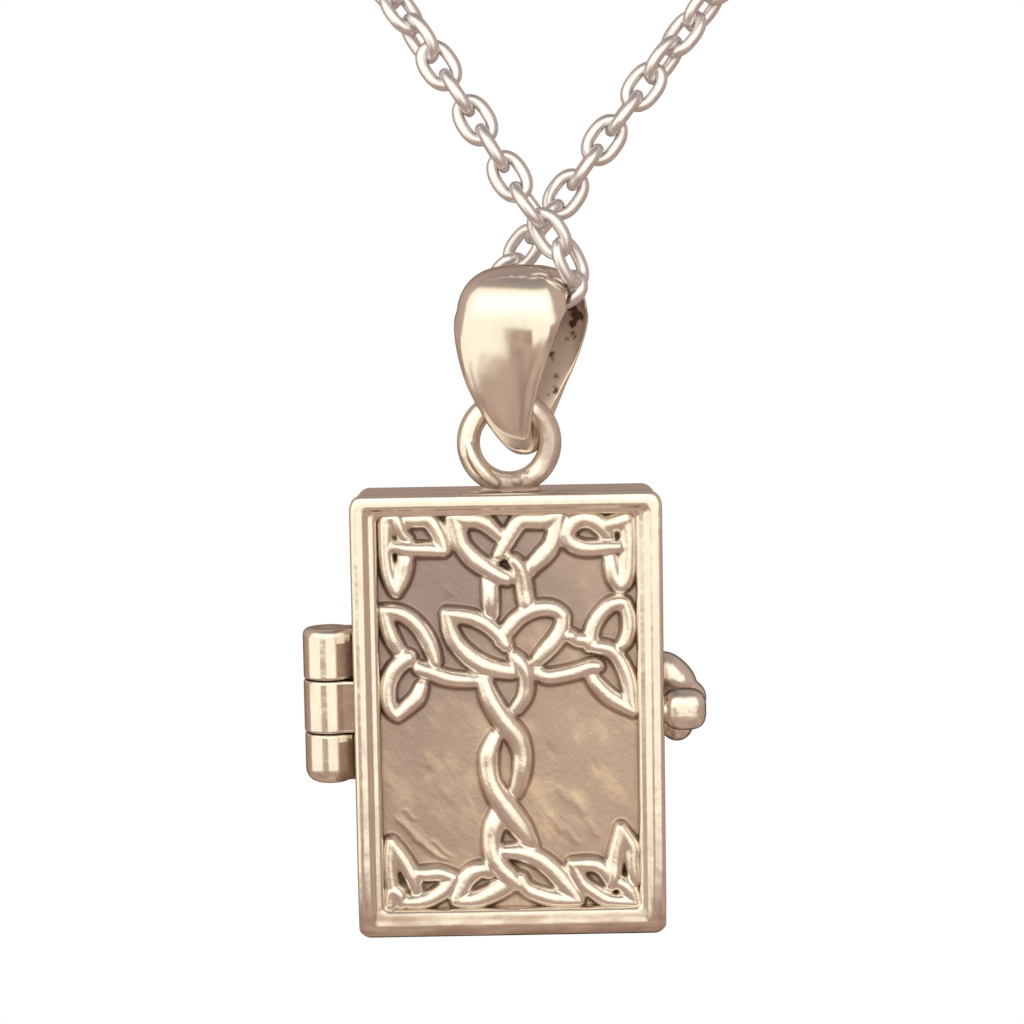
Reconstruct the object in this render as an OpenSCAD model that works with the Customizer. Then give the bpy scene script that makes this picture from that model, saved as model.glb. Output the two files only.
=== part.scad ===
// Hinged prayer box pendant with a knotwork lid, a puffed bail and a fine chain, in millimetres.
// +Z is up, the lid faces -Y, the hinge is on the -X side, and the origin is where the chain
// rests on the nape of the neck.

/* [Box] */
// Outside width of the box
box_w = 13.1; // [12:0.1:16]
// Outside height of the box
box_h = 18.9; // [17:0.1:22]
// Outside depth of the box, front to back
box_d = 6.0; // [5.8:0.1:8]
// Corner radius of the box seen from the front
corner_r = 0.7; // [0.4:0.1:1.2]
// Radius on the long outer edges, seen from the side and from above
edge_r = 0.55; // [0.3:0.05:0.8]
// Thickness of the side and back walls
wall = 0.55; // [0.4:0.05:0.7]
// Depth of the lid, from its front crest to the parting line
lid_d = 2.4; // [2.2:0.1:2.8]
// Gap between the lid and the case at the parting line
parting_gap = 0.08; // [0.05:0.01:0.15]

/* [Lid frame] */
// Width of the raised outer bar of the frame
bar_w = 0.62; // [0.5:0.02:0.8]
// Width of the lower inner step of the frame
step_w = 0.33; // [0.2:0.01:0.5]
// How far the inner step lies below the outer bar
step_drop = 0.35; // [0.2:0.05:0.6]
// Width of the ledge behind the panel
ledge_w = 0.45; // [0.3:0.05:0.8]
// Thickness of the ledge behind the panel
ledge_t = 0.4; // [0.3:0.05:0.6]

/* [Knot panel] */
// Thickness of the inset plate
panel_t = 0.5; // [0.4:0.05:0.7]
// How far the plate lies below the crest of the frame
panel_drop = 0.8; // [0.6:0.05:1]
// Gap between the plate and the frame
panel_gap = 0.05; // [0.03:0.01:0.1]
// Width of the raised knotwork strands
strand_w = 0.55; // [0.4:0.05:0.7]
// Height of the raised knotwork strands above the plate
strand_h = 0.4; // [0.2:0.05:0.6]

/* [Hinge] */
// Radius of the hinge barrel
barrel_r = 1.05; // [0.8:0.05:1.1]
// Distance from the box side to the hinge axis
barrel_out = 1.15; // [1.1:0.05:1.3]
// Length of the whole hinge barrel
barrel_l = 6.7; // [5:0.1:8]
// Height of the hinge's middle above the middle of the box
hinge_z = 0.4; // [-1:0.1:1]
// Length of the middle knuckle, which belongs to the lid
knuckle_l = 2.25; // [1.6:0.05:2.6]
// Gap between knuckles
knuckle_gap = 0.05; // [0.03:0.01:0.1]
// Radius of the hinge pin
pin_r = 0.35; // [0.3:0.01:0.45]
// Running clearance round the pin
pin_play = 0.03; // [0.01:0.01:0.08]

/* [Snap clasp] */
// Radius of the thumb ball on the lid
thumb_r = 0.96; // [0.8:0.02:1]
// Radius of the two catch lobes on the case
lobe_r = 0.92; // [0.7:0.02:0.96]
// Distance of each catch lobe above and below the middle of the catch
lobe_z = 1.0; // [0.7:0.05:1.1]
// Height of the middle of the catch above the middle of the box
catch_z = 0.25; // [-1:0.05:1]

/* [Top ring] */
// Radius of the ring to the middle of its wire
ring_r = 1.75; // [1.6:0.05:2]
// Radius of the ring's wire
ring_wire_r = 0.5; // [0.4:0.05:0.55]
// Height of the ring's centre above the top of the box
ring_rise = 2.1; // [1.9:0.05:2.2]

/* [Bail] */
// Widest half width of the bail's leaves
bail_half_w = 2.48; // [2.2:0.02:2.6]
// Outside radius of the bail's top bend
bail_bend_r = 2.1; // [2:0.05:2.4]
// Metal thickness at the top bend
bail_t = 0.55; // [0.4:0.05:0.6]
// Turn of the bail about the vertical, its +X mouth towards the front
bail_yaw = 20; // [0:1:25]

/* [Chain] */
// Outside diameter of the chain, across its links
chain_d = 1.2; // [1.1:0.05:1.3]
// Radius of the clasp ring at the nape
clasp_r = 2.4; // [2:0.1:3]
// Radius of the clasp ring's tube
clasp_wire_r = 0.55; // [0.4:0.05:0.7]

/* [Hidden] */
$fn = 48;

// Centre of the box, from the nape.
pendant_at = [0, -120, -119.8];

// Front, parting and back planes of the box, from its centre.
front_y = -box_d / 2;
back_y = box_d / 2;
parting_y = front_y + lid_d;
lid_back_y = parting_y - parting_gap / 2;
case_front_y = parting_y + parting_gap / 2;
box_top_z = box_h / 2;

// Lid window, panel and ledge.
window_w = box_w - 2 * (bar_w + step_w);
window_h = box_h - 2 * (bar_w + step_w);
window_r = 0.3;
panel_front_y = front_y + panel_drop;
panel_back_y = panel_front_y + panel_t;
ledge_front_y = panel_back_y + panel_gap;
ledge_back_y = ledge_front_y + ledge_t;

// Hinge axis, on the parting plane beside the box.
hinge_x = -box_w / 2 - barrel_out;
bore_r = pin_r + pin_play;
web_t = 0.55;
web_overlap = 0.2;

// Snap clasp beside the box.
thumb_at = [box_w / 2 + 0.91, -1.85, catch_z - 0.1];
lobe_x = box_w / 2 + 0.85;
lobe_y = 0.4;
lobe_neck_r = 0.45;

// Ring on top of the case, hole facing front, with its solder kept clear of the lid.
ring_at = [0.2, 0.1, box_top_z + ring_rise];
solder_r = 1.3;
solder_h = 0.55;
solder_flat = 0.4;

// Bail, whose bend axis carries it on the chain.
bail_at = [0.85, 0.1, 17.0];
leaf_z = 16.6;
leaf_tip_r = 0.65;
leaf_tip_z = 11.4;
bend_tip_r = 1.0;
bend_tip_z = 12.0;
pocket_tip_r = 0.75;
pocket_tip_z = 13.5;
ring_play = 0.07;

function yawed(p) = [
  p[0] * cos(bail_yaw) + p[1] * sin(bail_yaw),
  -p[0] * sin(bail_yaw) + p[1] * cos(bail_yaw),
  p[2]
];

// Route of the chain. The stretch at the bail is given from the bail's bend axis as
// [along the mouths, backwards, up], and the two strands in front from the box's centre.
through_bail = [
  [0.08, 1.97, 3.55], [-0.58, 1.99, 2.8], [-1.24, 2.18, 2.07], [-1.9, 2.48, 1.36],
  [-2.7, 2.6, 0.82], [-3.14, 1.78, 0.44], [-2.78, 0.81, 0.49], [-1.97, 0.3, 0.69],
  [-0.98, 0.19, 0.74], [0.02, 0.14, 0.74], [1.02, 0.06, 0.78], [2.08, -0.02, 1.04],
  [2.36, -0.27, 1.95], [1.81, -0.52, 2.83], [1.28, -0.66, 3.66]
];
right_strand = [
  [13.6, 3.4, 36], [8.6, 2.4, 29.6], [4.9, 1.9, 24.85], [2.7, 1.8, 21.9]
];
left_strand = [
  [0.7, -0.7, 22.3], [-1.9, 0.4, 26.6], [-7.4, 2.3, 34.9]
];
// The rest of the loop round the neck, from the nape.
right_neck = [
  [4.75, 0, 0], [21.8, -4.2, -0.7], [40.1, -14, -2.4], [54.1, -31, -5], [60.3, -54.5, -10.2],
  [57.7, -77.5, -20], [47.3, -97.5, -37.5], [32.3, -109, -58.5]
];
left_neck = [
  [-19.8, -113.5, -66], [-34.3, -105.5, -46.5], [-48.4, -92, -29.5], [-58.3, -71, -15.6],
  [-60.7, -50.5, -9], [-53.6, -30.5, -4.8], [-39.5, -14, -2.4], [-21.8, -4.2, -0.8],
  [-4.75, 0, 0]
];
chain_route = concat(
  right_neck,
  [for (p = right_strand) pendant_at + p],
  [for (p = through_bail) pendant_at + bail_at + yawed(p)],
  [for (p = left_strand) pendant_at + p],
  left_neck
);
chain_sides = 8;

// Rectangle with round corners, centred, in the XY plane.
module rounded_rect(w, h, r) {
  square([w - 2 * r, h], center = true);
  square([w, h - 2 * r], center = true);
  for (sx = [-1, 1], sz = [-1, 1])
    translate([sx * (w / 2 - r), sz * (h / 2 - r)])
      circle(r = r);
}

// Front outline pushed through from y0 to y1.
module front_slab(y0, y1) {
  translate([0, y1, 0])
    rotate([90, 0, 0])
      linear_extrude(y1 - y0)
        children();
}

// The whole box as one block with its long edges rounded.
module box_block() {
  intersection() {
    front_slab(front_y, back_y)
      rounded_rect(box_w, box_h, corner_r);
    rotate([90, 0, 90])
      translate([0, 0, -box_w / 2])
        linear_extrude(box_w)
          rounded_rect(box_d, box_h, edge_r);
    translate([0, 0, -box_h / 2])
      linear_extrude(box_h)
        rounded_rect(box_w, box_d, edge_r);
  }
}

// The part of the box between two depths.
module box_slice(y0, y1) {
  intersection() {
    box_block();
    translate([-box_w, y0, -box_h])
      cube([2 * box_w, y1 - y0, 2 * box_h]);
  }
}

// One hinge knuckle from z0 to z1 with its web to the box side, the web from web_y0 to web_y1.
module knuckle(z0, z1, web_y0, web_y1) {
  translate([hinge_x, parting_y, z0])
    cylinder(r = barrel_r, h = z1 - z0);
  translate([hinge_x, web_y0, z0])
    cube([barrel_out + web_overlap, web_y1 - web_y0, z1 - z0]);
}

module pin_bore() {
  translate([hinge_x, parting_y, -barrel_l])
    cylinder(r = bore_r, h = 2 * barrel_l);
}

// Two circles on the vertical axis joined by their common tangents.
module teardrop(r_top, z_top, r_low, z_low) {
  lean = asin((r_top - r_low) / (z_top - z_low));
  translate([0, z_top])
    circle(r = r_top, $fn = 96);
  translate([0, z_low])
    circle(r = r_low);
  polygon([
    [r_top * cos(lean), z_top - r_top * sin(lean)],
    [-r_top * cos(lean), z_top - r_top * sin(lean)],
    [-r_low * cos(lean), z_low - r_low * sin(lean)],
    [r_low * cos(lean), z_low - r_low * sin(lean)]
  ]);
}

// Ring of round wire standing in the XZ plane.
module wire_ring(r, wire_r) {
  rotate([90, 0, 0])
    rotate_extrude()
      translate([r, 0])
        circle(r = wire_r);
}

// Points of a smooth curve through a route, two for each stretch.
function smooth_point(a, b, c, d, t) =
  0.5 * (2 * b + (c - a) * t + (2 * a - 5 * b + 4 * c - d) * t * t
    + (3 * b - a - 3 * c + d) * t * t * t);
function smooth_route(route) = [
  for (i = [0:len(route) - 2], t = i == len(route) - 2 ? [0, 0.5, 1] : [0, 0.5])
    let (a = route[max(i - 1, 0)], d = route[min(i + 2, len(route) - 1)])
      smooth_point(a, route[i], route[i + 1], d, t)
];
function unit(v) = v / norm(v);
function headings(pts) = [
  for (i = [0:len(pts) - 1]) unit(pts[min(i + 1, len(pts) - 1)] - pts[max(i - 1, 0)])
];
// Side vectors carried along the route without twist.
function carried(side, heading) = unit(side - (side * heading) * heading);
function sides_from(dirs, i, side) =
  i == len(dirs) ? [] : let (s = carried(side, dirs[i])) concat([s], sides_from(dirs, i + 1, s));

// Round tube along a smooth curve.
module route_tube(route, r, n) {
  pts = smooth_route(route);
  dirs = headings(pts);
  sides = sides_from(dirs, 0, [0, 0, 1]);
  rings = len(pts);
  points = [
    for (i = [0:rings - 1], k = [0:n - 1])
      let (a = 360 * k / n)
        pts[i] + r * (cos(a) * sides[i] + sin(a) * cross(dirs[i], sides[i]))
  ];
  walls = [
    for (i = [0:rings - 2], k = [0:n - 1])
      [i * n + k, (i + 1) * n + k, (i + 1) * n + (k + 1) % n, i * n + (k + 1) % n]
  ];
  start_cap = [for (k = [0:n - 1]) k];
  end_cap = [for (k = [n - 1:-1:0]) (rings - 1) * n + k];
  polyhedron(points = points, faces = concat([start_cap], walls, [end_cap]));
}

// Fine cable chain as a tube of its outside diameter.
module chain() {
  color("#d9cbbd")
    route_tube(chain_route, chain_d / 2, chain_sides);
}

// Closed spring ring at the nape with an eye for each end of the chain.
module chain_clasp() {
  eye_r = 0.7;
  eye_wire_r = 0.28;
  eye_x = clasp_r + clasp_wire_r + eye_r;
  color("#d9cbbd") {
    wire_ring(clasp_r, clasp_wire_r);
    for (side = [-1, 1])
      translate([side * eye_x, 0, 0])
        wire_ring(eye_r, eye_wire_r);
  }
}

// Puffed drop-shaped loop, open at both sides, grooved where it sits in the ring.
module bail() {
  color("#e6d8c6")
    translate(pendant_at)
      difference() {
        translate([bail_at[0], bail_at[1], 0])
          rotate([0, 0, -bail_yaw])
            difference() {
              intersection() {
                rotate([90, 0, 0])
                  translate([0, 0, -bail_bend_r])
                    linear_extrude(2 * bail_bend_r)
                      teardrop(bail_half_w, leaf_z, leaf_tip_r, leaf_tip_z);
                rotate([90, 0, 90])
                  translate([0, 0, -bail_half_w])
                    linear_extrude(2 * bail_half_w)
                      teardrop(bail_bend_r, bail_at[2], bend_tip_r, bend_tip_z);
              }
              rotate([90, 0, 90])
                translate([0, 0, -2 * bail_half_w])
                  linear_extrude(4 * bail_half_w)
                    teardrop(bail_bend_r - bail_t, bail_at[2], pocket_tip_r, pocket_tip_z);
            }
        translate(ring_at)
          wire_ring(ring_r, ring_wire_r + ring_play);
      }
}

// Deep tray with the ring soldered on top, two hinge knuckles and two catch lobes.
module case_back() {
  middle_z = knuckle_l / 2 + knuckle_gap;
  color("#cdbba8")
    translate(pendant_at) {
      difference() {
        union() {
          box_slice(case_front_y, back_y);
          knuckle(hinge_z + middle_z, hinge_z + barrel_l / 2, case_front_y, case_front_y + web_t);
          knuckle(hinge_z - barrel_l / 2, hinge_z - middle_z, case_front_y, case_front_y + web_t);
        }
        front_slab(front_y, back_y - wall)
          rounded_rect(box_w - 2 * wall, box_h - 2 * wall, window_r);
        pin_bore();
      }
      for (side = [-1, 1])
        translate([lobe_x, lobe_y, catch_z + side * lobe_z]) {
          sphere(r = lobe_r);
          rotate([0, -90, 0])
            cylinder(r = lobe_neck_r, h = lobe_x - box_w / 2 + wall / 2);
        }
      translate(ring_at)
        wire_ring(ring_r, ring_wire_r);
      translate([ring_at[0], ring_at[1], box_top_z - wall / 2])
        scale([1, solder_flat, 1])
          cylinder(r1 = solder_r, r2 = ring_wire_r, h = solder_h + wall / 2);
    }
}

// Pin through all three knuckles.
module hinge_pin() {
  color("#b8a594")
    translate(pendant_at + [hinge_x, parting_y, hinge_z - barrel_l / 2])
      cylinder(r = pin_r, h = barrel_l);
}

// Raised frame with an inner step, a ledge behind the panel, one knuckle and the thumb ball.
module lid_frame() {
  color("#e6d8c6")
    translate(pendant_at) {
      difference() {
        union() {
          box_slice(front_y, lid_back_y);
          knuckle(hinge_z - knuckle_l / 2, hinge_z + knuckle_l / 2, lid_back_y - web_t, lid_back_y);
        }
        front_slab(front_y - 1, front_y + step_drop)
          rounded_rect(box_w - 2 * bar_w, box_h - 2 * bar_w, window_r);
        front_slab(front_y - 1, ledge_front_y)
          rounded_rect(window_w, window_h, window_r);
        front_slab(front_y - 1, back_y)
          rounded_rect(window_w - 2 * ledge_w, window_h - 2 * ledge_w, window_r);
        front_slab(ledge_back_y, back_y)
          rounded_rect(box_w - 2 * wall, box_h - 2 * wall, window_r);
        pin_bore();
      }
      translate(thumb_at) {
        sphere(r = thumb_r);
        rotate([0, -90, 0])
          cylinder(r = lobe_neck_r, h = thumb_at[0] - box_w / 2 + wall / 2);
      }
    }
}

// One raised strand as a bar of round-ended stretches through [x, z] points.
module strand(points) {
  for (i = [0:len(points) - 2])
    let (a = points[i], b = points[i + 1], d = b - a)
      translate(a)
        rotate(atan2(d[1], d[0])) {
          translate([0, -strand_w / 2])
            square([norm(d), strand_w]);
          circle(r = strand_w / 2);
          translate([norm(d), 0])
            circle(r = strand_w / 2);
        }
}

// Main strands of the knotwork: corner lobes, two leaf pairs, arms and a twisted trunk.
knot_strands = [
  // Corners, read clockwise from the top left.
  [[-5.0, 7.9], [-5.1, 5.2], [-4.3, 6.6], [-2.8, 7.0], [-4.0, 7.7], [-5.0, 6.9]],
  [[2.3, 7.4], [4.0, 7.9], [5.2, 7.9], [5.2, 6.2], [4.6, 5.1], [4.2, 6.6], [2.3, 7.2]],
  [[5.2, -7.9], [4.8, -5.4], [4.2, -7.0], [2.8, -6.6], [3.6, -7.7], [5.2, -7.9]],
  [[-5.0, -7.9], [-4.7, -5.7], [-3.9, -7.2], [-2.4, -7.0], [-3.6, -7.9], [-5.0, -7.9]],
  // Upper leaf pair and its stems.
  [[-2.3, 7.9], [-1.5, 6.1], [-0.1, 5.2], [0.7, 3.9]],
  [[-2.3, 7.9], [-0.4, 7.2], [1.0, 5.5], [2.0, 7.7], [-0.1, 6.6], [-0.9, 5.2], [-0.7, 3.9]],
  // Middle leaf pair.
  [[-2.7, 4.0], [-1.9, 2.6], [0, 1.6], [0.7, 0.8], [0.6, 0]],
  [[-2.7, 4.0], [-0.6, 3.2], [0.5, 2.0], [2.2, 2.6], [2.2, 4.1], [0.6, 3.6], [-0.1, 2.6]],
  // Side knots and their arms.
  [[-5.1, 4.0], [-4.6, 2.3], [-3.1, 1.8], [-4.2, 3.6], [-5.1, 4.0]],
  [[-4.1, 1.9], [-4.9, 0.9], [-4.7, -0.1], [-3.5, 1.1], [-1.6, 1.2]],
  [[5.1, 4.2], [3.2, 3.2], [3.8, 2.0], [5.1, 3.2], [5.1, 4.2]],
  [[1.2, 1.5], [2.9, 1.6], [4.4, 1.0], [5.2, -0.2], [4.2, 0.1], [3.4, 1.5]],
  // Trunk and its feet.
  [[-1.1, 1.1], [0.2, -0.9], [0.8, -2.4], [-0.2, -4.0], [-1.1, -5.2], [-0.5, -6.5], [0.6, -7.2],
    [2.8, -7.85], [0.8, -6.1], [0, -6.0]],
  [[-0.6, -1.0], [-0.8, -2.6], [0.5, -4.4], [1.0, -5.4]],
  [[-1.1, -6.5], [-2.2, -7.85], [-0.6, -7.8], [0.2, -6.9]]
];

// Inset plate with the knotwork standing on it.
module knot_panel() {
  color("#a8978a")
    translate(pendant_at) {
      front_slab(panel_front_y, panel_back_y)
        rounded_rect(window_w - 2 * panel_gap, window_h - 2 * panel_gap, window_r - panel_gap);
      front_slab(panel_front_y - strand_h, panel_front_y + panel_t / 2)
        for (points = knot_strands)
          strand(points);
    }
}

chain();
chain_clasp();
bail();
case_back();
hinge_pin();
lid_frame();
knot_panel();
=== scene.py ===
"""Prayer box pendant on its chain, for Blender 4.5: knotwork lid, hinge, snap, ring, bail and links."""

import math
from functools import cache

import bmesh
import bpy
import numpy as np
from mathutils import Matrix, Vector
from mathutils.kdtree import KDTree


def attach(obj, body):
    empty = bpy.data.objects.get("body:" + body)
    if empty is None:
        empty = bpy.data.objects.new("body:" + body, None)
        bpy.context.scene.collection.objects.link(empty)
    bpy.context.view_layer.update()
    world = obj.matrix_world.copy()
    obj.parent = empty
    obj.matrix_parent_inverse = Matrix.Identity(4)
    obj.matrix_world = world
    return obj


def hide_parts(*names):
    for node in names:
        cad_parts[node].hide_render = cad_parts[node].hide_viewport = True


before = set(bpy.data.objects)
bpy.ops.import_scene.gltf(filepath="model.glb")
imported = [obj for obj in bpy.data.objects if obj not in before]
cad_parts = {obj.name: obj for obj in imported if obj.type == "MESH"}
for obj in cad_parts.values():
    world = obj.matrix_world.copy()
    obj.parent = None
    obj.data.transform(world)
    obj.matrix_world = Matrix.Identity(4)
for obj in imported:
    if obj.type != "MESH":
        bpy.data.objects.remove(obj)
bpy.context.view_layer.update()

bl_info = {
    "name": "Prayer box pendant",
    "version": (1, 0, 0),
    "blender": (4, 5, 0),
    "location": "View3D > Sidebar > Pendant",
    "description": "Models a hinged prayer box pendant with its bail and cable chain",
    "category": "Object",
}

# The box's centre from the nape, in metres. Pieces are shaped in millimetres round it.
PENDANT_AT = Vector((0.0, -0.120, -0.1198))
MM = 0.001

# Places and sizes in millimetres from the box's centre: +X right, -Y front, +Z up.
FRONT_Y = -3.0
BACK_Y = 3.0
LID_BACK_Y = -0.64
CASE_FRONT_Y = -0.56
PARTING_Y = -0.6
PANEL_Y = -2.2
PANEL_BACK_Y = -1.7
LEDGE_Y = -1.65
LEDGE_BACK_Y = -1.25
TOP_CORNER = 0.6
BASE_CORNER = 0.5
HINGE_X = -7.7
HINGE_Z = 0.4
WEB_END_X = -6.4
WEB_DEPTH = 0.9
RING_AT = Vector((0.2, 0.1, 11.5))
BAIL_AT = Vector((0.85, 0.1, 17.0))
BAIL_YAW = math.radians(20)
THUMB_AT = Vector((7.46, -1.85, 0.15))
# Grain of the skin that runs soldered pieces together, and how far a bar's edges are rounded.
SKIN_GRAIN = 0.045
EDGE_BEVEL = 0.06


def length(name, description, default, low, high):
    """A length in metres, shown in the scene's own unit."""
    return bpy.props.FloatProperty(
        name=name, description=description, default=default, min=low, max=high,
        unit="LENGTH", subtype="DISTANCE")


def linear(code):
    """A colour written as sRGB hex, turned to the linear values that shaders read."""
    values = [int(code[i:i + 2], 16) / 255 for i in (1, 3, 5)]
    return tuple(v / 12.92 if v <= 0.04045 else ((v + 0.055) / 1.055) ** 2.4 for v in values)


def tint(name, description, code):
    """A colour, set as sRGB hex."""
    return bpy.props.FloatVectorProperty(
        name=name, description=description, default=linear(code), min=0, max=1, subtype="COLOR")


class PendantSizes(bpy.types.PropertyGroup):
    """Sizes of the box, its fittings and the bail."""

    box_width: length("Box width", "Outside width of the box", 0.0131, 0.012, 0.014)
    box_height: length("Box height", "Outside height of the box", 0.0189, 0.017, 0.020)
    wall: length("Wall", "Thickness of the case's sheet", 0.00055, 0.0004, 0.0007)
    barrel_radius: length("Hinge barrel", "Radius of the hinge barrel", 0.00105, 0.0008, 0.0011)
    ring_radius: length(
        "Top ring", "Radius of the top ring to the middle of its wire", 0.00175, 0.0016, 0.0019)
    ring_wire: length("Ring wire", "Radius of the top ring's wire", 0.0005, 0.0004, 0.0005)
    bail_half_width: length(
        "Bail half width", "Half width of the bail's leaves where they are widest",
        0.00248, 0.0022, 0.0026)
    bail_puff: length(
        "Bail puff", "How far the bail's edges fall back from its crest", 0.0008, 0.0003, 0.001)
    strand_height: length(
        "Strand height", "Height of the knotwork's strands above the plate", 0.00042, 0.0003, 0.0005)


class ChainSizes(bpy.types.PropertyGroup):
    """Sizes of the cable chain's links."""

    link_length: length("Link length", "Outside length of a link", 0.0024, 0.002, 0.0025)
    link_width: length("Link width", "Outside width of a link", 0.0017, 0.0015, 0.0018)
    link_wire: length("Link wire", "Thickness of the link's wire", 0.00053, 0.0003, 0.0006)
    pitch: length("Pitch", "Distance from one link's centre to the next", 0.00143, 0.001, 0.002)


class SilverColours(bpy.types.PropertyGroup):
    """Colours of the silver's finishes."""

    polished: tint("Polished", "Warm silver, polished", "#F4ECE2")
    plate: tint("Oxidised plate", "The knotwork's plate, oxidised and rubbed back", "#A69490")
    crevice: tint("Crevice", "Oxide left in the crevices", "#4A3426")
    wire: tint("Chain wire", "Drawn wire of the chain", "#F1EFF2")


class StudioSettings(bpy.types.PropertyGroup):
    """The stage round the pendant."""

    window: bpy.props.FloatProperty(
        name="Window", description="Brightness of the large white window that the silver mirrors",
        default=1.22, min=0, max=4)
    floor_size: length("Floor size", "Side of the pale floor", 1.6, 0.5, 4)


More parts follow.
